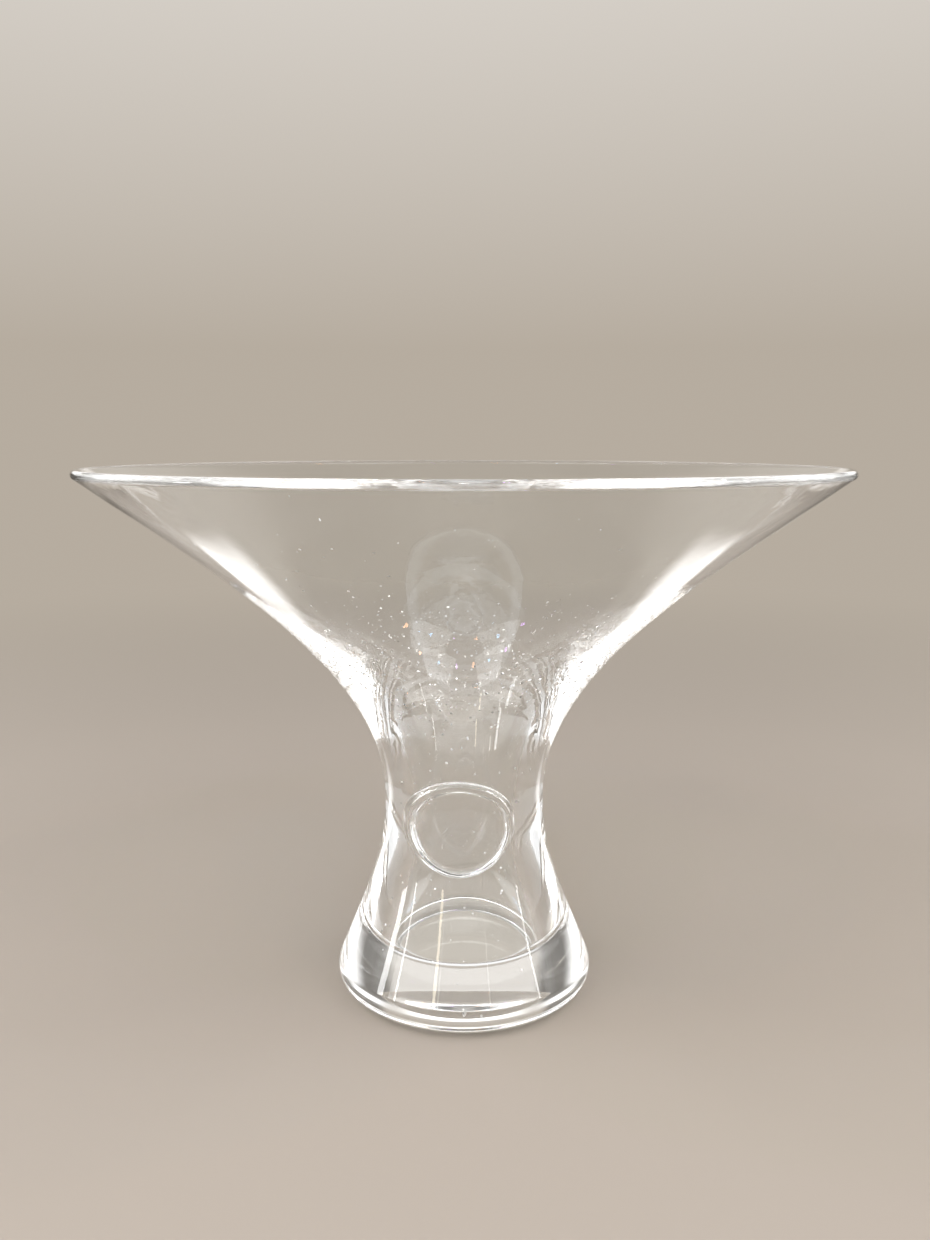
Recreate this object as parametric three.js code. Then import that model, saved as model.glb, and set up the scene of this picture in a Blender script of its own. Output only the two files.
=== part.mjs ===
// A footed bowl in clear, heavy, hand-blown crystal.
// The bowl flares wide above a thick-walled, waisted stem with a hollow bore, a solid foot is fused flat under
// the stem, and one round seal of glass is pressed on to the front of the waist.
// Millimetres, +Z up. The origin is the centre of the foot's flat underside, and the seal faces -Y.
import * as THREE from "three";

// Bowl and stem, outside. A pull is how far a curve keeps its end's direction, as a share of its height.
const RIM_RADIUS = 110;
const HEIGHT = 161;
const LIP_THICKNESS = 2.7;
const RIM_LEAN = 52; // degrees from upright
const RIM_PULL = 0.33;
const WAIST_RADIUS = 24.3;
const WAIST_HEIGHT = 62;
const WAIST_PULL_UP = 0.42;
const WAIST_PULL_DOWN = 0.27;

// Bore and inside of the bowl.
const WAIST_WALL = 9.1;
const BORE_WAIST_DROP = 12; // the bore is narrowest this far below the waist
const BORE_PULL_UP = 0.31;
const BORE_PULL_DOWN = 0.35;
const INSIDE_LEAN = 54; // degrees from upright, at the lip
const INSIDE_PULL = 0.95;
const FLOOR_THICKNESS = 3; // glass of the bowl's own under its floor
const FLOOR_WALL = 16.3; // from the edge of the floor out to the foot's top edge
const FLOOR_CORNER = 4;
const FLOOR_LEAN = 16; // degrees that the bore spreads by at its foot
const FLOOR_PULL = 0.4;

// Foot: its side is one round from the flat underside up to the stem.
const FOOT_RADIUS = 39.4;
const FOOT_HEIGHT = 10;
const FOOT_LEAN = 23; // degrees from upright, where the stem starts
const FOOT_PULL = 0.66;

// Seal.
const SEAL_WIDTH = 32.5;
const SEAL_HEIGHT = 28.3;
const SEAL_RISE = 4.2; // crest of the rim above the stem
const SEAL_RIM_WIDTH = 3.4; // from the outline in to the field
const SEAL_FIELD_DEPTH = 1.4;
const SEAL_TAPER = 0.05; // share by which the outline is wider above and narrower below
const SEAL_FLATTENING = 0.4; // share of the stem's curve that the stamp took out of the front
const SEAL_DROP = 3; // centre below the waist
const SEAL_OFFSET = -1.6; // centre to the side of the bowl's axis
const SEAL_CLEARANCE = 0.3;
const STAMP_ACROSS = 1.4; // the stamp came down off the pad's centre, to the right
const STAMP_DOWN = 2.2; // and low

// Facets.
const ROUND_SEGMENTS = 64;
const SEAL_SEGMENTS = 40;

const crystal = (name) =>
  new THREE.MeshStandardMaterial({
    name,
    color: 0xf1f6f7,
    roughness: 0.02,
    metalness: 0,
    transparent: true,
    opacity: 0.35,
  });

const point = (radius, height) => new THREE.Vector2(radius, height);

// The direction up a wall that leans out from upright by some degrees, and the direction square to it, outwards.
const upWall = (degrees) => {
  const lean = THREE.MathUtils.degToRad(degrees);
  return point(Math.sin(lean), Math.cos(lean));
};
const offWall = (degrees) => {
  const up = upWall(degrees);
  return point(up.y, -up.x);
};

const along = (start, direction, distance) =>
  start.clone().addScaledVector(direction, distance);

const round = (centre, radiusX, radiusY, fromDegrees, toDegrees) =>
  new THREE.EllipseCurve(
    centre.x,
    centre.y,
    radiusX,
    radiusY,
    THREE.MathUtils.degToRad(fromDegrees),
    THREE.MathUtils.degToRad(toDegrees),
    toDegrees < fromDegrees,
  );

// Joins curves end to end into one profile, each cut into its own number of steps.
function profile(stretches) {
  const points = [];
  for (const [curve, steps] of stretches) {
    const next = curve.getPoints(steps);
    points.push(...(points.length ? next.slice(1) : next));
  }
  return points;
}

const revolve = (points) =>
  new THREE.LatheGeometry(points, ROUND_SEGMENTS).rotateX(Math.PI / 2);

// The foot's side ends at its top edge, where the stem takes up the same lean.
const footRound = FOOT_HEIGHT / (1 + Math.sin(THREE.MathUtils.degToRad(FOOT_LEAN)));
const footFlat = FOOT_RADIUS - footRound;
const footSide = round(point(footFlat, footRound), footRound, footRound, -90, FOOT_LEAN);
const footTop = footSide.getPoint(1);

// Outside of the stem and the bowl, from the foot up to the lip, in two curves that meet upright at the waist.
const waist = point(WAIST_RADIUS, WAIST_HEIGHT);
const upright = point(0, 1);
const lipRadius = LIP_THICKNESS / 2;
const lipCentre = point(RIM_RADIUS - lipRadius, HEIGHT - lipRadius);
const lipOutside = along(lipCentre, offWall(RIM_LEAN), lipRadius);
const stemLength = waist.y - footTop.y;
const bowlLength = HEIGHT - waist.y;
const stemOutside = new THREE.CubicBezierCurve(
  footTop,
  along(footTop, upWall(-FOOT_LEAN), FOOT_PULL * stemLength),
  along(waist, upright, -WAIST_PULL_DOWN * stemLength),
  waist,
);
const bowlOutside = new THREE.CubicBezierCurve(
  waist,
  along(waist, upright, WAIST_PULL_UP * bowlLength),
  along(lipOutside, upWall(RIM_LEAN), -RIM_PULL * bowlLength),
  lipOutside,
);
const lip = round(lipCentre, lipRadius, lipRadius, -RIM_LEAN, 180 - INSIDE_LEAN);

// Inside, from the lip down to the bore's narrowest place, and on to the rounded corner of the floor.
const lipInside = lip.getPoint(1);
const boreWaist = point(WAIST_RADIUS - WAIST_WALL, WAIST_HEIGHT - BORE_WAIST_DROP);
const floorHeight = FOOT_HEIGHT + FLOOR_THICKNESS;
const floorRadius = footTop.x - FLOOR_WALL;
const cornerCentre = point(floorRadius - FLOOR_CORNER, floorHeight + FLOOR_CORNER);
const corner = round(cornerCentre, FLOOR_CORNER, FLOOR_CORNER, FLOOR_LEAN, -90);
const cornerTop = corner.getPoint(0);
const bowlInsideLength = lipInside.y - boreWaist.y;
const boreLength = boreWaist.y - cornerTop.y;
const bowlInside = new THREE.CubicBezierCurve(
  lipInside,
  along(lipInside, upWall(INSIDE_LEAN), -INSIDE_PULL * bowlInsideLength),
  along(boreWaist, upright, BORE_PULL_UP * bowlInsideLength),
  boreWaist,
);
const bore = new THREE.CubicBezierCurve(
  boreWaist,
  along(boreWaist, upright, -BORE_PULL_DOWN * boreLength),
  along(cornerTop, upWall(-FLOOR_LEAN), FLOOR_PULL * boreLength),
  cornerTop,
);

// Blown bowl: one skin from the underside of its floor, up the outside, over the lip and down the bore.
const outside = profile([
  [stemOutside, 9],
  [bowlOutside, 14],
]);
const blownBowl = revolve([
  point(0, footTop.y),
  ...outside,
  ...profile([
    [lip, 5],
    [bowlInside, 14],
    [bore, 8],
    [corner, 4],
  ]).slice(1),
  point(0, floorHeight),
]);

// Solid foot: flat underside, rounded side, and the flat top that the bowl is fused to.
const solidFoot = revolve([
  point(0, 0),
  ...footSide.getPoints(9),
  point(0, footTop.y),
]);

// The stem's outside radius at a height, on the profile that the bowl is turned from.
function stemRadius(height) {
  const above = outside.findIndex((p) => p.y > height);
  const low = outside[above - 1];
  const high = outside[above];
  return THREE.MathUtils.mapLinear(height, low.y, high.y, low.x, high.x);
}

// Applied seal: a flat pad with a full round rim and a sunk field, turned first, then laid on the stem.
const sealRadius = SEAL_WIDTH / 2;
const rimCrest = point(sealRadius - SEAL_RIM_WIDTH / 2, SEAL_RISE);
const fieldEdge = point(sealRadius - SEAL_RIM_WIDTH, SEAL_RISE - SEAL_FIELD_DEPTH);
const sealRim = round(
  point(rimCrest.x, SEAL_RISE / 2),
  SEAL_RIM_WIDTH / 2,
  SEAL_RISE / 2,
  -90,
  90,
);
const rimToField = new THREE.CubicBezierCurve(
  rimCrest,
  point((rimCrest.x + fieldEdge.x) / 2, rimCrest.y),
  point((rimCrest.x + fieldEdge.x) / 2, fieldEdge.y),
  fieldEdge,
);
const sealPad = profile([
  [new THREE.LineCurve(point(0, 0), point(rimCrest.x, 0)), 5],
  [sealRim, 8],
  [rimToField, 5],
  [new THREE.LineCurve(fieldEdge, point(0, fieldEdge.y)), 3],
]);

// Lays the pad's vertices on the stem: its back follows the glass all over, and its front is flatter.
// The stamp's offset is whole at the middle and dies out at the outline.
function layOnStem(pad) {
  const place = pad.getAttribute("position");
  for (let i = 0; i < place.count; i += 1) {
    const thick = place.getY(i);
    const fromCentre = Math.hypot(place.getX(i), place.getZ(i)) / sealRadius;
    const stamped = 1 - fromCentre ** 2;
    const across = place.getX(i) + STAMP_ACROSS * stamped;
    const up = -place.getZ(i) - STAMP_DOWN * stamped;
    const x = across * (1 + (SEAL_TAPER * up) / sealRadius) + SEAL_OFFSET;
    const z = WAIST_HEIGHT - SEAL_DROP + (up * SEAL_HEIGHT) / SEAL_WIDTH;
    const radius = stemRadius(z) + SEAL_CLEARANCE;
    const onStem = Math.sqrt(radius * radius - x * x);
    const filled = SEAL_FLATTENING * (radius - onStem) * (thick / SEAL_RISE);
    place.setXYZ(i, x, -(onStem + filled + thick), z);
  }
  return pad;
}
const appliedSeal = layOnStem(new THREE.LatheGeometry(sealPad, SEAL_SEGMENTS));

const footedBowl = new THREE.Group();
const pieces = { blown_bowl: blownBowl, solid_foot: solidFoot, applied_seal: appliedSeal };
for (const [name, geometry] of Object.entries(pieces)) {
  const mesh = new THREE.Mesh(geometry, crystal(name));
  mesh.name = name;
  footedBowl.add(mesh);
}

export default footedBowl;
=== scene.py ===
"""A footed bowl in clear, heavy, hand-blown crystal, on a pale studio floor.

The file follows the bowl as it is put together hot: the blown bowl with its stem, the solid foot under it,
and the seal pressed on the stem. Floor, light and camera come last. Metres, +Z up, seal towards -Y.
"""

import math

import bmesh
import bpy
from mathutils import Matrix, Vector, noise
from mathutils.geometry import interpolate_bezier


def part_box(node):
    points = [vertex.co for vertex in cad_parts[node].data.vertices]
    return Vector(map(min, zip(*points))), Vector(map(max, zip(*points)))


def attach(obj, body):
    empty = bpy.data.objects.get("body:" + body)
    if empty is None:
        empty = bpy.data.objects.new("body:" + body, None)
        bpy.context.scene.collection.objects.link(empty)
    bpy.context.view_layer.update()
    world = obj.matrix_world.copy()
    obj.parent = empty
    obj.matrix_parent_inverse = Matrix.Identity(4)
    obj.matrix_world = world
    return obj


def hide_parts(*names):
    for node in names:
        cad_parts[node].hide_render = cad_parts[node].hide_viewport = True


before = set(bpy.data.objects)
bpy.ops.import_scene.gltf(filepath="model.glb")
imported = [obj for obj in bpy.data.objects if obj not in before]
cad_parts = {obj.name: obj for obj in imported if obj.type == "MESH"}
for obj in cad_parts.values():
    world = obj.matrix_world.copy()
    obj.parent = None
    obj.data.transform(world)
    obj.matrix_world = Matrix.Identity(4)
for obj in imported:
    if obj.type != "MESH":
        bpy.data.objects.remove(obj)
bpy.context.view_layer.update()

# Blown bowl.
# One skin of clear crystal, blown and spun open to a wide mouth, with its lip melted round in the fire.
# The stem keeps a thick wall round a hollow bore, and its flat underside is fused to the foot.
MM = 0.001
bowl_low, bowl_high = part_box("blown_bowl")
foot_low, foot_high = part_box("solid_foot")
rim_radius = (bowl_high.x - bowl_low.x) / 2
foot_radius = (foot_high.x - foot_low.x) / 2
bowl_height = bowl_high.z
joint_height = bowl_low.z
lip_radius = 1.35 * MM
outside_lean = math.radians(52)
inside_lean = math.radians(54)
waist = Vector((24.3 * MM, 62 * MM))
stem_lean = math.radians(-23)
foot_round = joint_height / (1 + math.sin(-stem_lean))
joint_radius = foot_radius - foot_round * (1 - math.cos(stem_lean))
bore_waist = Vector((15.2 * MM, 50 * MM))
floor_height = 13 * MM
floor_corner = 4 * MM
floor_radius = 22.53 * MM
floor_lean = math.radians(-16)
ripple_height = 0.1 * MM

# A pull is how far a curve keeps its end's direction, as a share of its height.
rim_pull = 0.33
inside_pull = 0.95
waist_pull_up = 0.42
waist_pull_down = 0.27
stem_pull = 0.66
bore_pull_up = 0.31
bore_pull_down = 0.35
floor_pull = 0.4


def up_wall(lean):
    """The direction up a wall that leans out from upright."""
    return Vector((math.sin(lean), math.cos(lean)))


def arc(centre, radius, start, end, cuts):
    """Knots of a round stretch from one angle to another: place, then the handles before and after it."""
    step = (end - start) / cuts
    reach = radius * 4 / 3 * math.tan(step / 4)
    knots = []
    for cut in range(cuts + 1):
        angle = start + cut * step
        place = centre + radius * Vector((math.cos(angle), math.sin(angle)))
        along = reach * Vector((-math.sin(angle), math.cos(angle)))
        knots.append([place, place - along, place + along])
    return knots


def straight(place):
    """A knot with straight stretches on both sides."""
    return [place, place, place]


def profile_curve(name, knots):
    """A flat curve object through knots of (radius, height)."""
    data = bpy.data.curves.new(name, "CURVE")
    data.dimensions = "2D"
    spline = data.splines.new("BEZIER")
    spline.bezier_points.add(len(knots) - 1)
    for point, (place, before, after) in zip(spline.bezier_points, knots):
        point.handle_left_type = "VECTOR" if before == place else "FREE"
        point.handle_right_type = "VECTOR" if after == place else "FREE"
        point.co = place.to_3d()
        point.handle_left = before.to_3d()
        point.handle_right = after.to_3d()
    piece = bpy.data.objects.new(name, data)
    bpy.context.scene.collection.objects.link(piece)
    return piece


def add_sockets(tree, kind, names, in_out="INPUT"):
    """Gives a tree named inputs or outputs of one kind."""
    for name in names:
        tree.interface.new_socket(name, in_out=in_out, socket_type=f"NodeSocket{kind}")


def add_node(tree, kind, values=None, **settings):
    """A node with its settings, and its inputs set from values or linked from sockets."""
    node = tree.nodes.new(kind)
    for name, value in settings.items():
        setattr(node, name, value)
    for key, value in (values or {}).items():
        socket = node.inputs[key]
        if isinstance(value, bpy.types.NodeSocket):
            tree.links.new(value, socket)
        else:
            socket.default_value = value
    return node


def maths(tree, operation, first, second=0.0):
    """One step of arithmetic, as the socket that holds its result."""
    return add_node(tree, "ShaderNodeMath", {0: first, 1: second}, operation=operation).outputs[0]


def vector_maths(tree, operation, first, second):
    """One step of vector arithmetic, as the socket that holds its vector."""
    return add_node(tree, "ShaderNodeVectorMath", {0: first, 1: second}, operation=operation).outputs[0]


def scaled(tree, vector, by):
    """A vector times a number."""
    return add_node(tree, "ShaderNodeVectorMath", {0: vector, "Scale": by}, operation="SCALE").outputs[0]


def ramp(tree, value, start, end, low=0.0, high=1.0, kind="LINEAR"):
    """A number that runs from low to high while a value runs from start to end."""
    limits = {0: value, 1: start, 2: end, 3: low, 4: high}
    return add_node(tree, "ShaderNodeMapRange", limits, interpolation_type=kind).outputs[0]


def put_out(tree, results):
    """Ends a tree in its named results."""
    end = tree.nodes.new("NodeGroupOutput")
    for name, socket in results.items():
        tree.links.new(socket, end.inputs[name])
    return tree


def turning_tree():
    """Turns a profile of (radius, height) round the upright axis, as a closed skin with smooth faces."""
    tree = bpy.data.node_groups.new("turned_glass", "GeometryNodeTree")
    add_sockets(tree, "Geometry", ["Profile"])
    add_sockets(tree, "Int", ["Steps Along", "Steps Round"])
    add_sockets(tree, "Float", ["Turning Radius", "Joint Height"])
    add_sockets(tree, "Float", ["Ripple Height", "Ripple Size", "Ripple Starts", "Ripple Whole"])
    add_sockets(tree, "Material", ["Glass", "Fused Joint"])
    add_sockets(tree, "Geometry", ["Turned"], "OUTPUT")
    given = tree.nodes.new("NodeGroupInput").outputs
    merge_distance = 1e-6
    crisp_angle = math.radians(40)

    # A swept profile's own Y points down on a circle, so it is turned over and moved in to the circle first.
    fine = add_node(tree, "GeometryNodeSetSplineResolution", {0: given["Profile"], 2: given["Steps Along"]})
    inwards = maths(tree, "MULTIPLY", given["Turning Radius"], -1.0)
    shift = add_node(tree, "ShaderNodeCombineXYZ", {"X": inwards})
    moved = add_node(
        tree,
        "GeometryNodeTransform",
        {"Geometry": fine.outputs[0], "Translation": shift.outputs[0], "Scale": (1, -1, 1)},
    )
    circle = add_node(
        tree,
        "GeometryNodeCurvePrimitiveCircle",
        {"Resolution": given["Steps Round"], "Radius": given["Turning Radius"]},
    )
    swept = add_node(
        tree,
        "GeometryNodeCurveToMesh",
        {"Curve": circle.outputs[0], "Profile Curve": moved.outputs[0]},
    )
    outwards = add_node(tree, "GeometryNodeFlipFaces", {"Mesh": swept.outputs[0]})
    closed = add_node(
        tree,
        "GeometryNodeMergeByDistance",
        {"Geometry": outwards.outputs[0], "Distance": merge_distance},
    )

    # The tool leaves a slow ripple in the wall, which dies out towards the fused joint.
    place = add_node(tree, "GeometryNodeInputPosition")
    normal = add_node(tree, "GeometryNodeInputNormal")
    height = add_node(tree, "ShaderNodeSeparateXYZ", {0: place.outputs[0]})
    over_joint = maths(tree, "SUBTRACT", height.outputs["Z"], given["Joint Height"])
    away = ramp(tree, over_joint, given["Ripple Starts"], given["Ripple Whole"], kind="SMOOTHSTEP")
    ripple = add_node(
        tree,
        "ShaderNodeTexNoise",
        {
            "Vector": place.outputs[0],
            "Scale": maths(tree, "DIVIDE", 1.0, given["Ripple Size"]),
            "Detail": 1.0,
        },
    )
    swing = ramp(tree, ripple.outputs[0], 0.0, 1.0, -1.0, 1.0)
    tall = maths(tree, "MULTIPLY", swing, given["Ripple Height"])
    push = scaled(tree, normal.outputs[0], maths(tree, "MULTIPLY", tall, away))
    rippled = add_node(tree, "GeometryNodeSetPosition", {"Geometry": closed.outputs[0], "Offset": push})

    # Faces are smooth but for the edge where a flat joint meets the side.
    smooth = add_node(tree, "GeometryNodeSetShadeSmooth", {"Geometry": rippled.outputs[0]}, domain="FACE")
    angle = add_node(tree, "GeometryNodeInputMeshEdgeAngle")
    is_edge = add_node(
        tree,
        "FunctionNodeCompare",
        {0: angle.outputs["Unsigned Angle"], 1: crisp_angle},
        data_type="FLOAT",
        operation="GREATER_THAN",
    )
    crisp = add_node(
        tree,
        "GeometryNodeSetShadeSmooth",
        {"Geometry": smooth.outputs[0], "Selection": is_edge.outputs[0], "Shade Smooth": False},
        domain="EDGE",
    )

    # The flat faces at the joint's height are fused, and the rest is open glass.
    at_joint = add_node(
        tree,
        "FunctionNodeCompare",
        {0: maths(tree, "ABSOLUTE", over_joint), 1: merge_distance},
        data_type="FLOAT",
        operation="LESS_THAN",
    )
    plain = add_node(tree, "GeometryNodeRealizeInstances", {"Geometry": crisp.outputs[0]})
    glassy = add_node(
        tree,
        "GeometryNodeSetMaterial",
        {"Geometry": plain.outputs[0], "Material": given["Glass"]},
    )
    fused = add_node(
        tree,
        "GeometryNodeSetMaterial",
        {
            "Geometry": glassy.outputs[0],
            "Selection": at_joint.outputs[0],
            "Material": given["Fused Joint"],
        },
    )
    return put_out(tree, {"Turned": fused.outputs[0]})


turned_glass = turning_tree()


def run_tree(piece, tree, inputs):
    """Runs a geometry tree on an object, with inputs by name, and returns the plain mesh that it makes."""
    modifier = piece.modifiers.new(tree.name, "NODES")
    modifier.node_group = tree
    for item in tree.interface.items_tree:
        if item.name in inputs:
            modifier[item.identifier] = inputs[item.name]
    made = piece.evaluated_get(bpy.context.evaluated_depsgraph_get())
    mesh = bpy.data.meshes.new_from_object(made)
    piece.modifiers.remove(modifier)
    return mesh


def turn(profile, glass, wall_ripple):
    """Turns a profile into a mesh object of the same name, which takes the profile's place."""
    name = profile.name
    sizes = {
        "Steps Along": 40,
        "Steps Round": 280,
        "Turning Radius": waist.x,
        "Joint Height": joint_height,
        "Ripple Height": wall_ripple,
        "Ripple Size": 26 * MM,
        "Ripple Starts": 60 * MM,
        "Ripple Whole": 100 * MM,
        "Glass": glass,
        "Fused Joint": fused_joint,
    }
    mesh = run_tree(profile, turned_glass, sizes)
    bpy.data.objects.remove(profile)
    mesh.name = name
    piece = bpy.data.objects.new(name, mesh)
    bpy.context.scene.collection.objects.link(piece)
    return piece


def glint_beads_tree():
    """Scatters small flat white beads over the skin between two heights, as painted glints."""
    tree = bpy.data.node_groups.new("painted_glint_beads", "GeometryNodeTree")
    add_sockets(tree, "Geometry", ["Skin"])
    add_sockets(tree, "Float", ["Low", "High", "Fade", "Marks Per Area"])
    add_sockets(tree, "Float", ["Smallest", "Largest", "Stand Off"])
    add_sockets(tree, "Int", ["Seed"])
    add_sockets(tree, "Material", ["Glint Paint"])
    add_sockets(tree, "Geometry", ["Marked"], "OUTPUT")
    given = tree.nodes.new("NodeGroupInput").outputs
    place = add_node(tree, "GeometryNodeInputPosition")
    level = add_node(tree, "ShaderNodeSeparateXYZ", {0: place.outputs[0]}).outputs["Z"]
    above = maths(tree, "DIVIDE", maths(tree, "SUBTRACT", level, given["Low"]), given["Fade"])
    below = maths(tree, "DIVIDE", maths(tree, "SUBTRACT", given["High"], level), given["Fade"])
    share = add_node(tree, "ShaderNodeClamp", {0: maths(tree, "MINIMUM", above, below)})
    spots = add_node(
        tree,
        "GeometryNodeDistributePointsOnFaces",
        {
            "Mesh": given["Skin"],
            "Density": maths(tree, "MULTIPLY", share.outputs[0], given["Marks Per Area"]),
            "Seed": given["Seed"],
        },
    )
    lifted = add_node(
        tree,
        "GeometryNodeSetPosition",
        {
            "Geometry": spots.outputs["Points"],
            "Offset": scaled(tree, spots.outputs["Normal"], given["Stand Off"]),
        },
    )
    size = add_node(
        tree,
        "FunctionNodeRandomValue",
        {2: given["Smallest"], 3: given["Largest"], "Seed": given["Seed"]},
        data_type="FLOAT",
    )
    bead = add_node(
        tree,
        "GeometryNodeMeshCone",
        {"Vertices": 7, "Radius Top": 0.6, "Radius Bottom": 1.0, "Depth": 0.2},
        fill_type="NGON",
    )
    dots = add_node(
        tree,
        "GeometryNodeInstanceOnPoints",
        {
            "Points": lifted.outputs[0],
            "Instance": bead.outputs["Mesh"],
            "Rotation": spots.outputs["Rotation"],
            "Scale": size.outputs[1],
        },
    )
    plain = add_node(tree, "GeometryNodeRealizeInstances", {"Geometry": dots.outputs[0]})
    painted_white = add_node(
        tree,
        "GeometryNodeSetMaterial",
        {"Geometry": plain.outputs[0], "Material": given["Glint Paint"]},
    )
    both = add_node(tree, "GeometryNodeJoinGeometry")
    tree.links.new(painted_white.outputs[0], both.inputs[0])
    tree.links.new(given["Skin"], both.inputs[0])
    return put_out(tree, {"Marked": both.outputs[0]})


painted_glint_beads = glint_beads_tree()


def handling_group():
    """Marks on polished glass: smears where it was wiped, small tilted flats, and the tool's fine ripple."""
    tree = bpy.data.node_groups.new("handling_marks", "ShaderNodeTree")
    add_sockets(tree, "Vector", ["Vector"])
    add_sockets(tree, "Float", ["Smear", "Speck Pitch", "Speck Share", "Speck Tilt"])
    add_sockets(tree, "Float", ["Ripple Pitch", "Ripple Height"])
    add_sockets(tree, "Float", ["Roughness", "Height"], "OUTPUT")
    given = tree.nodes.new("NodeGroupInput").outputs
    wiped = add_node(
        tree,
        "ShaderNodeTexNoise",
        {"Vector": given["Vector"], "Scale": 34.0, "Detail": 4.0, "Distortion": 0.6},
    )
    smear_starts = 0.5
    smear_whole = 0.75
    patch = ramp(tree, wiped.outputs[0], smear_starts, smear_whole, kind="SMOOTHSTEP")
    cells = add_node(
        tree,
        "ShaderNodeTexVoronoi",
        {"Vector": given["Vector"], "Scale": maths(tree, "DIVIDE", 1.0, given["Speck Pitch"])},
    )
    lot = add_node(tree, "ShaderNodeSeparateColor", {0: cells.outputs["Color"]})
    chosen = maths(tree, "LESS_THAN", lot.outputs[0], given["Speck Share"])
    smallest_flat = 0.1
    largest_flat = 0.22
    reach = ramp(tree, lot.outputs[1], 0.0, 1.0, smallest_flat, largest_flat)
    flat = maths(tree, "MULTIPLY", maths(tree, "LESS_THAN", cells.outputs["Distance"], reach), chosen)
    off_centre = vector_maths(tree, "SUBTRACT", given["Vector"], cells.outputs["Position"])
    chance = add_node(tree, "ShaderNodeTexWhiteNoise", {"Vector": cells.outputs["Position"]})
    lean = vector_maths(tree, "SUBTRACT", chance.outputs["Color"], (0.5, 0.5, 0.5))
    slope = add_node(tree, "ShaderNodeVectorMath", {0: off_centre, 1: lean}, operation="DOT_PRODUCT")
    tilted = maths(tree, "MULTIPLY", slope.outputs["Value"], given["Speck Tilt"])
    ripple = add_node(
        tree,
        "ShaderNodeTexNoise",
        {
            "Vector": given["Vector"],
            "Scale": maths(tree, "DIVIDE", 1.0, given["Ripple Pitch"]),
            "Detail": 1.0,
        },
    )
    waves = maths(tree, "MULTIPLY", ripple.outputs[0], given["Ripple Height"])
    return put_out(
        tree,
        {
            "Roughness": maths(tree, "MULTIPLY", patch, given["Smear"]),
            "Height": maths(tree, "ADD", maths(tree, "MULTIPLY", tilted, flat), waves),
        },
    )


handling_marks = handling_group()


def crystal(name, marks):
    """Clear crystal that has been handled, with its marks given by name. Heights of marks are in metres."""
    material = bpy.data.materials.new(name)
    material.use_nodes = True
    tree = material.node_tree
    shader = tree.nodes["Principled BSDF"]
    shader.inputs["Base Color"].default_value = (0.985, 0.995, 0.995, 1)
    shader.inputs["IOR"].default_value = 1.54
    shader.inputs["Transmission Weight"].default_value = 1.0
    place = add_node(tree, "ShaderNodeTexCoord")
    handled = add_node(
        tree,
        "ShaderNodeGroup",
        {"Vector": place.outputs["Object"], **marks},
        name="Handling",
        node_tree=handling_marks,
    )
    bump = add_node(
        tree,
        "ShaderNodeBump",
        {"Height": handled.outputs["Height"], "Strength": 1.0, "Distance": 1.0},
    )
    tree.links.new(handled.outputs["Roughness"], shader.inputs["Roughness"])
    tree.links.new(bump.outputs["Normal"], shader.inputs["Normal"])
    return material


fused_joint = bpy.data.materials.new("fused_joint")
fused_joint.use_nodes = True
joint_shader = fused_joint.node_tree.nodes["Principled BSDF"]
joint_shader.inputs["Transmission Weight"].default_value = 1.0
joint_shader.inputs["Alpha"].default_value = 0.0

bowl_crystal = crystal(
    "bowl_crystal",
    {
        "Smear": 0.015,
        "Speck Pitch": 2.4 * MM,
        "Speck Share": 0.3,
        "Speck Tilt": 0.9,
        "Ripple Pitch": 5 * MM,
        "Ripple Height": 0.012 * MM,
    },
)

# The flats are left where the tool opened the throat, above the bore, and nowhere else.
throat_low = 90 * MM
throat_high = 125 * MM
throat_fade = 6 * MM
most_flats = 0.8
bowl_tree = bowl_crystal.node_tree
bowl_place = add_node(bowl_tree, "ShaderNodeTexCoord")
bowl_level = add_node(bowl_tree, "ShaderNodeSeparateXYZ", {0: bowl_place.outputs["Object"]}).outputs["Z"]
flats = maths(
    bowl_tree,
    "MULTIPLY",
    ramp(bowl_tree, bowl_level, throat_low, throat_low + throat_fade, 0.0, most_flats),
    ramp(bowl_tree, bowl_level, throat_low + 2 * throat_fade, throat_high, 1.0, 0.0),
)
bowl_tree.links.new(flats, bowl_tree.nodes["Handling"].inputs["Speck Share"])

upright = Vector((0, 1))
lip_centre = Vector((rim_radius - lip_radius, bowl_height - lip_radius))
lip = arc(lip_centre, lip_radius, -outside_lean, math.pi - inside_lean, 2)
floor_round = arc(
    Vector((floor_radius - floor_corner, floor_height + floor_corner)),
    floor_corner,
    -floor_lean,
    -math.pi / 2,
    2,
)
joint_edge = Vector((joint_radius, joint_height))
stem_length = waist.y - joint_height
bowl_length = bowl_height - waist.y
inside_length = lip[-1][0].y - bore_waist.y
bore_length = bore_waist.y - floor_round[0][0].y
stem_start = [joint_edge, joint_edge, joint_edge + stem_pull * stem_length * up_wall(stem_lean)]
waist_knot = [
    waist,
    waist - waist_pull_down * stem_length * upright,
    waist + waist_pull_up * bowl_length * upright,
]
lip[0][1] = lip[0][0] - rim_pull * bowl_length * up_wall(outside_lean)
lip[-1][2] = lip[-1][0] - inside_pull * inside_length * up_wall(inside_lean)
bore_knot = [
    bore_waist,
    bore_waist + bore_pull_up * inside_length * upright,
    bore_waist - bore_pull_down * bore_length * upright,
]
floor_round[0][1] = floor_round[0][0] + floor_pull * bore_length * up_wall(floor_lean)
floor_round[-1][2] = floor_round[-1][0]
bowl_profile = profile_curve(
    "blown_bowl_skin",
    [
        straight(Vector((0, joint_height))),
        stem_start,
        waist_knot,
        *lip,
        bore_knot,
        *floor_round,
        straight(Vector((0, floor_height))),
    ],
)
bowl = turn(bowl_profile, bowl_crystal, ripple_height)
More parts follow.
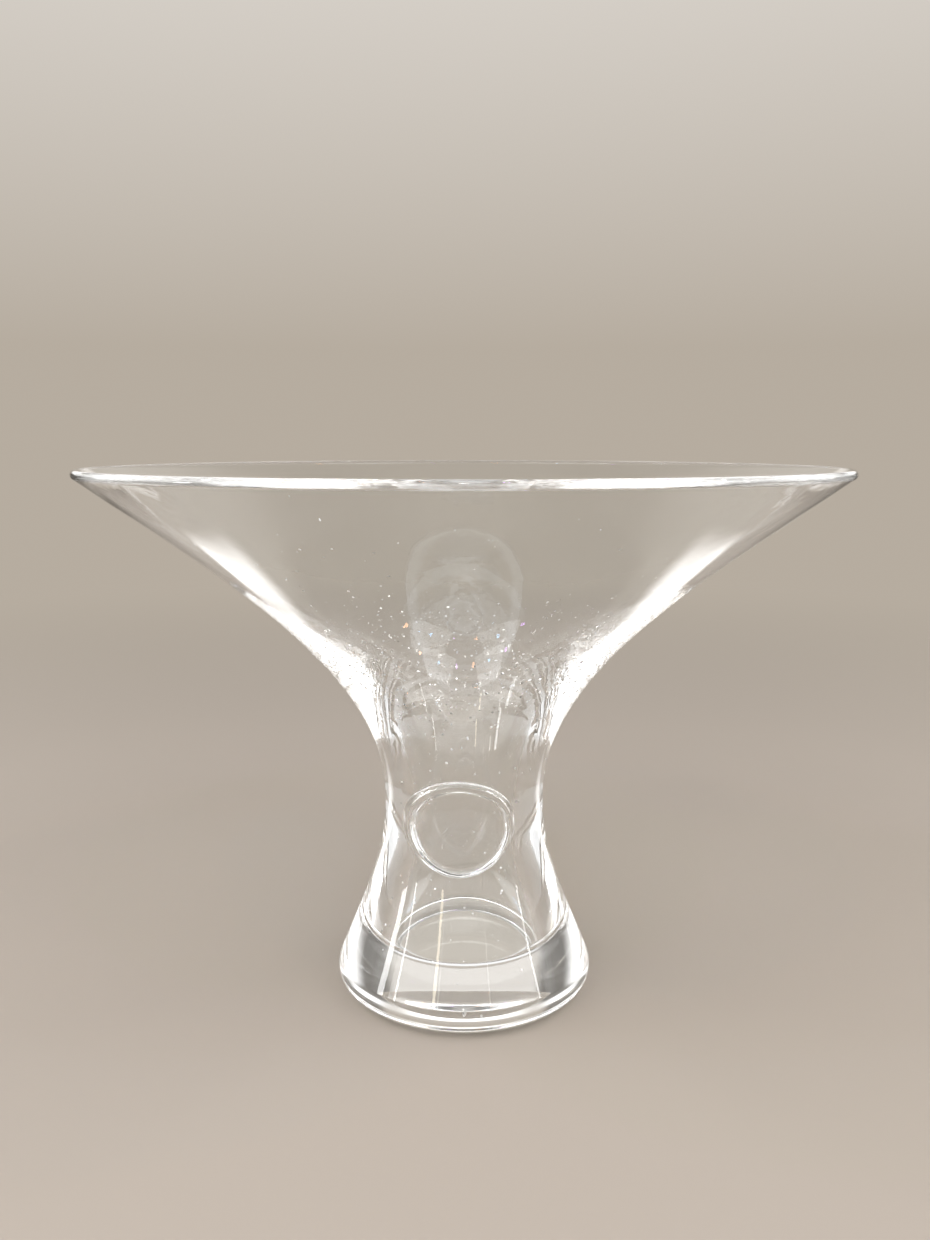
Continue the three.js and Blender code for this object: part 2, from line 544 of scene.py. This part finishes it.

# Small white beads are scattered on the glass as painted glints, thickest where the bowl narrows.
glint_paint = bpy.data.materials.new("painted_glints")
glint_paint.use_nodes = True
glint_paint_shader = glint_paint.node_tree.nodes["Principled BSDF"]
glint_paint_shader.inputs["Base Color"].default_value = (0.95, 0.95, 0.95, 1)
glint_paint_shader.inputs["Roughness"].default_value = 0.4
glint_fade = 8 * MM


def paint_glints(piece, low, high, crowd, seed):
    """Scatters painted glints, small white beads, on a piece between two heights, so many to the square
    metre.
    """
    marks = {
        "Low": low,
        "High": high,
        "Fade": glint_fade,
        "Marks Per Area": crowd,
        "Smallest": 0.12 * MM,
        "Largest": 0.42 * MM,
        "Stand Off": 0.02 * MM,
        "Seed": seed,
        "Glint Paint": glint_paint,
    }
    piece.data = run_tree(piece, painted_glint_beads, marks)


paint_glints(bowl, 84 * MM, 118 * MM, crowd=24000, seed=1)
paint_glints(bowl, 62 * MM, 150 * MM, crowd=1600, seed=2)
paint_glints(bowl, 14 * MM, 84 * MM, crowd=9000, seed=3)
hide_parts("blown_bowl")
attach(bowl, "root")

# Solid foot.
# A gather of crystal fused under the stem while both were hot, with a rounded side and a flat, polished
# underside that the bowl stands on. The floor of the bore shows through it and is mirrored in the underside.
foot_side = arc(Vector((foot_radius - foot_round, foot_round)), foot_round, -math.pi / 2, -stem_lean, 3)
foot_side[0][1] = foot_side[0][0]
foot_side[-1][2] = foot_side[-1][0]
foot_crystal = crystal(
    "foot_crystal",
    {
        "Smear": 0.004,
        "Speck Pitch": 4 * MM,
        "Speck Share": 0.04,
        "Speck Tilt": 0.6,
        "Ripple Pitch": 8 * MM,
        "Ripple Height": 0.006 * MM,
    },
)
foot_profile = profile_curve(
    "solid_foot_skin",
    [straight(Vector((0, 0))), *foot_side, straight(Vector((0, joint_height)))],
)
foot = turn(foot_profile, foot_crystal, 0.0)
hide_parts("solid_foot")
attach(foot, "root")

# Applied seal.
# A small gather of crystal dropped on the front of the waist and pressed with a plain stamp, which pushed
# up a rolled rim round a sunk field. Its back is fused to the stem.
seal_low, seal_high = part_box("applied_seal")
seal_radius = (seal_high.x - seal_low.x) / 2
seal_squash = (seal_high.z - seal_low.z) / (seal_high.x - seal_low.x)
seal_side = (seal_high.x + seal_low.x) / 2
seal_height = (seal_high.z + seal_low.z) / 2
seal_rise = 4.2 * MM
seal_rim = 3.4 * MM
field_depth = 1.4 * MM
seal_taper = 0.05
seal_flattening = 0.4
stamp_across = 1.4 * MM
stamp_down = 2.2 * MM
field_wave = 0.34 * MM
field_wave_size = 5.5 * MM
rim_line = 0.065 * MM
rim_line_pitch = 1.1 * MM
rim_crest = seal_radius - seal_rim / 2
field_edge = seal_radius - seal_rim
seal_steps = 160
back_steps = 12
roll_steps = 40
slope_steps = 32
field_steps = 20
outline_steps = 200

stem_outline = []
for lower, upper in ((stem_start, waist_knot), (waist_knot, lip[0])):
    stem_outline += interpolate_bezier(lower[0], lower[2], upper[1], upper[0], outline_steps)


def stem_radius(height):
    """The stem's outside radius at a height, from the curves that the bowl is turned from."""
    for low, high in zip(stem_outline, stem_outline[1:]):
        if low.y <= height <= high.y:
            return low.x + (high.x - low.x) * (height - low.y) / (high.y - low.y)
    raise ValueError(f"the stem does not reach {height}")


def pad_profile():
    """The pad's section as (radius, thickness): flat back, rolled rim, then the sunk field to its middle."""
    section = [Vector((rim_crest * step / back_steps, 0)) for step in range(back_steps + 1)]
    for step in range(1, roll_steps + 1):
        turn_by = math.pi * (step / roll_steps - 0.5)
        out = seal_rim / 2 * math.cos(turn_by)
        section.append(Vector((rim_crest + out, seal_rise / 2 * (1 + math.sin(turn_by)))))
    middle = (rim_crest + field_edge) / 2
    low = seal_rise - field_depth
    slope = interpolate_bezier(
        Vector((rim_crest, seal_rise)),
        Vector((middle, seal_rise)),
        Vector((middle, low)),
        Vector((field_edge, low)),
        slope_steps,
    )
    section += slope[1:]
    section += [Vector((field_edge * (1 - step / field_steps), low)) for step in range(1, field_steps + 1)]
    return section


def lay_on_stem(angle, radius, thick):
    """Where a point of the flat pad lies once it is pressed on the stem, its front flatter than the stem."""
    stamped = 1 - (radius / seal_radius) ** 2
    across = radius * math.cos(angle) + stamp_across * stamped
    up = radius * math.sin(angle) - stamp_down * stamped
    x = across * (1 + seal_taper * up / seal_radius) + seal_side
    z = seal_height + up * seal_squash
    if thick > 0:
        front = min(1.0, thick / (seal_rise - field_depth))
        thick += front * field_wave * noise.noise(Vector((x, 0, z)) / field_wave_size)
        if radius > field_edge:
            rolled = math.sin(2 * math.pi * (radius - field_edge) / rim_line_pitch)
            thick += front * rim_line * rolled
    around = stem_radius(z)
    on_stem = math.sqrt(around * around - x * x)
    filled = seal_flattening * (around - on_stem) * thick / seal_rise
    return Vector((x, -(on_stem + filled + thick), z))


pad = pad_profile()
seal_shape = bmesh.new()
rows = []
for radius, thick in pad:
    if radius < 1e-9:
        rows.append([seal_shape.verts.new(lay_on_stem(0, 0, thick))] * seal_steps)
        continue
    angles = [2 * math.pi * step / seal_steps for step in range(seal_steps)]
    rows.append([seal_shape.verts.new(lay_on_stem(angle, radius, thick)) for angle in angles])
for index, (inner, outer) in enumerate(zip(rows, rows[1:])):
    for step in range(seal_steps):
        after = (step + 1) % seal_steps
        ring = [inner[step], inner[after], outer[after], outer[step]]
        face = seal_shape.faces.new(list(dict.fromkeys(ring)))
        face.smooth = True
        face.material_index = 1 if index < back_steps else 0
bmesh.ops.recalc_face_normals(seal_shape, faces=seal_shape.faces)
for edge in seal_shape.edges:
    kinds = {face.material_index for face in edge.link_faces}
    edge.smooth = len(kinds) == 1
seal_mesh = bpy.data.meshes.new("applied_seal_pad")
seal_shape.to_mesh(seal_mesh)
seal_shape.free()
seal_crystal = crystal(
    "seal_crystal",
    {
        "Smear": 0.02,
        "Speck Pitch": 3 * MM,
        "Speck Share": 0.3,
        "Speck Tilt": 0.7,
        "Ripple Pitch": 2.5 * MM,
        "Ripple Height": 0.03 * MM,
    },
)
seal_mesh.materials.append(seal_crystal)
seal_mesh.materials.append(fused_joint)
seal = bpy.data.objects.new("applied_seal_pad", seal_mesh)
bpy.context.scene.collection.objects.link(seal)
# Painted glints: small white beads scattered over the seal.
paint_glints(seal, seal_low.z - glint_fade, seal_high.z + glint_fade, crowd=5000, seed=4)

# Under the seal the stem's own skin is melted away, so that light runs on from one to the other.
landing_reach = seal_radius + 2 * MM
outside_bore = bore_waist.x + 5 * MM


def off_contact(place):
    """How far a place on the stem lies outside the seal's contact with it, below 0 where that covers it."""
    up = (place.z - seal_height) / seal_squash
    across = (place.x - seal_side) / (1 + seal_taper * up / seal_radius)
    stamped = 1 - (rim_crest / seal_radius) ** 2
    return math.hypot(across - stamp_across * stamped, up + stamp_down * stamped) - rim_crest


def is_landing(place):
    """Whether a place on the bowl is on the stem's front, close round the seal."""
    near = abs(place.x - seal_side) < landing_reach and abs(place.z - seal_height) < landing_reach
    return near and place.y < 0 and place.xy.length > outside_bore


landing_crystal = bowl_crystal.copy()
landing_crystal.name = "landing_crystal"
landing_tree = landing_crystal.node_tree
contact = add_node(landing_tree, "ShaderNodeAttribute", attribute_name="off_seal")
open_skin = maths(landing_tree, "GREATER_THAN", contact.outputs["Fac"], 0.0)
landing_tree.links.new(open_skin, landing_tree.nodes["Principled BSDF"].inputs["Alpha"])
off_seal = bowl.data.attributes.new("off_seal", "FLOAT", "POINT")
for vertex, value in zip(bowl.data.vertices, off_seal.data):
    value.value = off_contact(vertex.co) if is_landing(vertex.co) else seal_radius
bowl.data.materials.append(landing_crystal)
for face in bowl.data.polygons:
    if face.material_index == 0 and is_landing(face.center):
        face.material_index = len(bowl.data.materials) - 1
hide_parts("applied_seal")
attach(seal, "root")

# Floor and studio light.
# A plain pale floor runs out into a pale surround. Soft boxes stand in a half ring on the camera's side, two
# above it and a low row behind, and two dark cards behind, out of the camera's view, draw the glass's edges.
floor_reach = 8.0
floor_drop = 0.2 * MM
floor_mesh = bpy.data.meshes.new("studio_floor")
ground = bmesh.new()
bmesh.ops.create_circle(
    ground,
    cap_ends=True,
    segments=96,
    radius=floor_reach,
    matrix=Matrix.Translation((0, 0, -floor_drop)),
)
ground.to_mesh(floor_mesh)
ground.free()
floor = bpy.data.objects.new("studio_floor", floor_mesh)
bpy.context.scene.collection.objects.link(floor)
surround_colour = (0.47, 0.415, 0.35, 1)
upper_colour = (0.7, 0.66, 0.61, 1)
zenith_colour = (0.2, 0.19, 0.18, 1)
fill_colour = (0.33, 0.33, 0.33, 1)
white = (1, 1, 1, 1)
card_depth = 0.7
card_near_edge = (math.radians(24), math.radians(31))
card_far_edge = (math.radians(95), math.radians(75))


def cards_group():
    """Two dark cards that stand behind the bowl, left and right of the camera's view, and draw its edges."""
    tree = bpy.data.node_groups.new("dark_cards", "ShaderNodeTree")
    add_sockets(tree, "Vector", ["Vector"])
    add_sockets(tree, "Float", ["Depth"])
    add_sockets(tree, "Float", ["Shade"], "OUTPUT")
    given = tree.nodes.new("NodeGroupInput").outputs
    split = add_node(tree, "ShaderNodeSeparateXYZ", {0: given["Vector"]})
    around = maths(tree, "ARCTAN2", split.outputs["X"], split.outputs["Y"])
    aside = maths(tree, "ABSOLUTE", around)
    near_edge = ramp(tree, aside, *card_near_edge, kind="SMOOTHSTEP")
    far_edge = ramp(tree, aside, *card_far_edge, kind="SMOOTHSTEP")
    dark = maths(tree, "MULTIPLY", maths(tree, "MULTIPLY", near_edge, far_edge), given["Depth"])
    return put_out(tree, {"Shade": maths(tree, "SUBTRACT", 1.0, dark)})


dark_cards = cards_group()


def shaded_level(tree, direction, path):
    """How bright the surround is in a direction: whole for the camera, and dark at the cards for all else."""
    cards = add_node(
        tree,
        "ShaderNodeGroup",
        {"Vector": direction, "Depth": card_depth},
        node_tree=dark_cards,
    )
    return maths(tree, "MAXIMUM", cards.outputs["Shade"], path.outputs["Is Camera Ray"])


floor_paint = bpy.data.materials.new("studio_floor")
floor_paint.use_nodes = True
floor_tree = floor_paint.node_tree
floor_shader = floor_tree.nodes["Principled BSDF"]
floor_shader.inputs["Base Color"].default_value = surround_colour
floor_shader.inputs["Roughness"].default_value = 0.7
floor_shader.inputs["Specular IOR Level"].default_value = 0.2
floor_place = add_node(floor_tree, "ShaderNodeTexCoord").outputs["Object"]
floor_path = add_node(floor_tree, "ShaderNodeLightPath")
floor_axes = add_node(floor_tree, "ShaderNodeSeparateXYZ", {0: floor_place})
floor_length = add_node(floor_tree, "ShaderNodeVectorMath", {0: floor_place}, operation="LENGTH")
floor_far = floor_length.outputs["Value"]
plain_within = 0.25
surround_beyond = 1.0
floor_fade = ramp(floor_tree, floor_far, plain_within, surround_beyond, kind="SMOOTHSTEP")
floor_glow = add_node(
    floor_tree,
    "ShaderNodeEmission",
    {"Color": surround_colour, "Strength": shaded_level(floor_tree, floor_place, floor_path)},
)
floor_mix = add_node(
    floor_tree,
    "ShaderNodeMixShader",
    {0: floor_fade, 1: floor_shader.outputs[0], 2: floor_glow.outputs[0]},
)

# Painted light: where glass looks at the floor under the foot, the floor glows as an emission in its own
# colour, as if it were lit there. It glows white in a painted ring of light under the foot's front edge, and
# for light that has turned many times in the glass.
many_turns = 5.0
ring_inside = 22 * MM
ring_whole = 25 * MM
front_starts = 4 * MM
front_whole = -6 * MM
under_foot = maths(floor_tree, "LESS_THAN", floor_far, foot_radius - foot_round)
through_glass = maths(
    floor_tree,
    "MAXIMUM",
    floor_path.outputs["Is Glossy Ray"],
    floor_path.outputs["Is Transmission Ray"],
)
painted_ring = maths(
    floor_tree,
    "MULTIPLY",
    ramp(floor_tree, floor_far, ring_inside, ring_whole),
    ramp(floor_tree, floor_axes.outputs["Y"], front_starts, front_whole),
)
painted_deep_glow = maths(floor_tree, "GREATER_THAN", floor_path.outputs["Ray Depth"], many_turns)
painted_patch_colour = add_node(
    floor_tree,
    "ShaderNodeMix",
    {0: maths(floor_tree, "MAXIMUM", painted_ring, painted_deep_glow)},
    data_type="RGBA",
)
painted_patch_colour.inputs[6].default_value = surround_colour
painted_patch_colour.inputs[7].default_value = white
painted_patch_glow = add_node(floor_tree, "ShaderNodeEmission", {"Color": painted_patch_colour.outputs[2], "Strength": 1.0})
painted_patch_mix = add_node(
    floor_tree,
    "ShaderNodeMixShader",
    {
        0: maths(floor_tree, "MULTIPLY", under_foot, through_glass),
        1: floor_mix.outputs[0],
        2: painted_patch_glow.outputs[0],
    },
)
floor_tree.links.new(painted_patch_mix.outputs[0], floor_tree.nodes["Material Output"].inputs["Surface"])
floor_mesh.materials.append(floor_paint)

# The surround is pale at the floor, paler above and dim overhead. It lights plain surfaces as an even grey.
world = bpy.data.worlds.new("studio")
bpy.context.scene.world = world
world.use_nodes = True
sky = world.node_tree
fill = sky.nodes["Background"]
fill.inputs["Color"].default_value = fill_colour
sky_place = add_node(sky, "ShaderNodeTexCoord").outputs["Generated"]
sky_height = add_node(sky, "ShaderNodeSeparateXYZ", {0: sky_place})
sky_path = add_node(sky, "ShaderNodeLightPath")
sky_shade = add_node(sky, "ShaderNodeValToRGB", {0: sky_height.outputs["Z"]})
pale_below = 0.08
paler_between = (0.4, 0.6)
dim_above = 0.9
sky_bands = sky_shade.color_ramp.elements
sky_bands[0].position = pale_below
sky_bands[0].color = surround_colour
sky_bands[1].position = dim_above
sky_bands[1].color = zenith_colour
for height in paler_between:
    sky_bands.new(height).color = upper_colour
seen = add_node(
    sky,
    "ShaderNodeBackground",
    {"Color": sky_shade.outputs[0], "Strength": shaded_level(sky, sky_place, sky_path)},
)
seen_or_mirrored = maths(
    sky,
    "MAXIMUM",
    sky_path.outputs["Is Camera Ray"],
    sky_path.outputs["Is Glossy Ray"],
)
seen_at_all = maths(sky, "MAXIMUM", seen_or_mirrored, sky_path.outputs["Is Transmission Ray"])
sky_mix = add_node(
    sky,
    "ShaderNodeMixShader",
    {0: seen_at_all, 1: fill.outputs[0], 2: seen.outputs[0]},
)
sky.links.new(sky_mix.outputs[0], sky.nodes["World Output"].inputs["Surface"])


def fade_edges(data, across, upwards):
    """Fades a lamp out towards its sides, and towards its top and bottom, over a share of its half size."""
    data.use_nodes = True
    tree = data.node_tree
    spot = add_node(tree, "ShaderNodeNewGeometry")
    centred = vector_maths(tree, "SUBTRACT", spot.outputs["Parametric"], (0.5, 0.5, 0))
    off_centre = add_node(tree, "ShaderNodeVectorMath", {0: centred}, operation="ABSOLUTE")
    split = add_node(tree, "ShaderNodeSeparateXYZ", {0: off_centre.outputs[0]})
    just_past_edge = 0.501
    fades = []
    for axis, share in (("X", across), ("Y", upwards)):
        start = 0.5 * (1 - share)
        fades.append(ramp(tree, split.outputs[axis], start, just_past_edge, 1.0, 0.0, kind="SMOOTHSTEP"))
    both = maths(tree, "MULTIPLY", *fades)
    tree.links.new(both, tree.nodes["Emission"].inputs["Strength"])


def add_lamp(name, width, height, brightness, shape="RECTANGLE", fades=(0, 0)):
    """A lamp that the camera does not see, so many times as bright to look at as lit white paper."""
    data = bpy.data.lights.new(name, "AREA")
    data.shape = shape
    data.size = width
    data.size_y = height
    area = width * height * (math.pi / 4 if shape == "ELLIPSE" else 1)
    data.energy = brightness * math.pi * area
    if any(fades):
        fade_edges(data, *fades)
    lamp = bpy.data.objects.new(name, data)
    lamp.visible_camera = False
    bpy.context.scene.collection.objects.link(lamp)
    return lamp


def soft_box(name, around, rise, reach, **face):
    """A lamp that faces the bowl from some degrees round from straight behind it, and some degrees up."""
    level = math.cos(math.radians(rise))
    towards = Vector((
        math.sin(math.radians(around)) * level,
        math.cos(math.radians(around)) * level,
        math.sin(math.radians(rise)),
    ))
    lamp = add_lamp(name, **face)
    lamp.location = Vector((0, 0, bowl_height / 2)) + reach * towards
    lamp.rotation_euler = (-towards).to_track_quat("-Z", "Y").to_euler()
    return lamp


# Half ring on the camera's side.
ring_box = {"rise": 18.5, "reach": 1.0, "height": 0.66, "brightness": 1.7}
for around in (135, 180, 225):
    soft_box(f"ring_{around}", around, width=0.83, fades=(0, 0.3), **ring_box)
for around in (84, 276):
    soft_box(f"ring_{around}", around, width=0.96, fades=(0.35, 0.3), **ring_box)

# Low row behind.
low_box = {"rise": 13, "reach": 1.0, "height": 0.19, "fades": (0.9, 0.6)}
side_box = {"rise": 20, "reach": 1.0, "width": 0.6, "height": 0.4, "brightness": 1.2, "fades": (0.9, 0.7)}
soft_box("back_low", 0, width=0.9, brightness=1.4, **low_box)
for hand, around in (("left", -38), ("right", 38)):
    soft_box(f"back_low_{hand}", around, width=0.6, brightness=1.6, **low_box)
for hand, around in (("left", -60), ("right", 60)):
    soft_box(f"back_{hand}", around, **side_box)

# Two boxes above, and narrow strips that draw upright streaks on the stem.
for hand, around in (("left", 225), ("right", 135)):
    soft_box(f"key_{hand}", around, rise=53, reach=1.1, width=0.55, height=0.4, brightness=2.5)
soft_box("strip_left", 256, rise=8, reach=0.95, width=0.1, height=0.22, brightness=10)
soft_box("strip_left_thin", 241, rise=5, reach=0.95, width=0.03, height=0.1, brightness=10)
strip_warm = soft_box("strip_warm", 206, rise=11, reach=0.95, width=0.045, height=0.15, brightness=8)
strip_warm.data.color = (1, 0.9, 0.7)
soft_box("strip_right", 113, rise=8, reach=0.95, width=0.03, height=0.2, brightness=9)

# A card of light lies low behind the bowl at each side, and shows only as a gleam on the outside of its wall.
low_card_place = Vector((0.16, 0.148, 2 * MM))
low_card_turn = math.radians(24)
for side in (-1, 1):
    card = add_lamp("low_card", width=0.07, height=0.16, brightness=2.6, fades=(0.9, 0.5))
    card.location = (side * low_card_place.x, low_card_place.y, low_card_place.z)
    card.rotation_euler = (math.pi, 0, -side * low_card_turn)
    card.visible_diffuse = False
    card.visible_transmission = False

# An arch of lamps, shaded from all but the seal, draws its rolled rim as bright lines.
lit_alone = bpy.data.collections.new("lit_alone")
lit_alone.objects.link(seal)
arch = ((90, 6), (95, 36), (110, 64), (180, 84), (250, 64), (265, 36), (270, 6))
for index, (around, rise) in enumerate(arch):
    lamp = soft_box(f"arch_{index}", around, rise, reach=0.8, width=0.38, height=0.38, brightness=14)
    lamp.light_linking.receiver_collection = lit_alone

# Small lamps on the camera's side sparkle in the glass. Every other one has a coloured gel, which stands in
# for the colours that crystal breaks light into.
gels = ((1, 1, 1), (1, 0.5, 0.25), (1, 1, 1), (0.3, 0.6, 1), (1, 1, 1), (0.7, 0.35, 1))
sparkle_face = {"width": 0.05, "height": 0.05, "brightness": 50, "shape": "ELLIPSE"}
for index in range(13):
    rise = 44 + 12 * (index % 2)
    sparkle = soft_box(f"sparkle_{index}", 90 + 15 * index, rise, reach=1.2, **sparkle_face)
    sparkle.data.color = gels[index % len(gels)]

# Camera.
# It stands where the photograph was taken from, close in front of the bowl and a little above the lip, and
# looks some degrees down. Sizes in pixels are the photograph's own.
photo_width = 930
photo_height = 1240
focal_pixels = 1100
axis_pixel = 464.15
looks_down = 9.25
camera_data = bpy.data.cameras.new("camera")
camera_data.sensor_width = 36
camera_data.lens = focal_pixels / photo_height * camera_data.sensor_width
camera_data.shift_x = (photo_width / 2 - axis_pixel) / photo_height
camera_data.clip_start = 0.01
camera = bpy.data.objects.new("camera", camera_data)
camera.location = (0, -0.3278, 0.1685)
camera.rotation_euler = (math.radians(90 - looks_down), 0, 0)
bpy.context.scene.collection.objects.link(camera)
bpy.context.scene.camera = camera
bpy.context.scene.view_settings.view_transform = "Standard"

# Light turns many times inside thick glass before it comes out, so paths are followed far.
most_turns = 96
cycles = bpy.context.scene.cycles
cycles.max_bounces = most_turns
cycles.glossy_bounces = most_turns
cycles.transmission_bounces = most_turns
cycles.transparent_max_bounces = most_turns
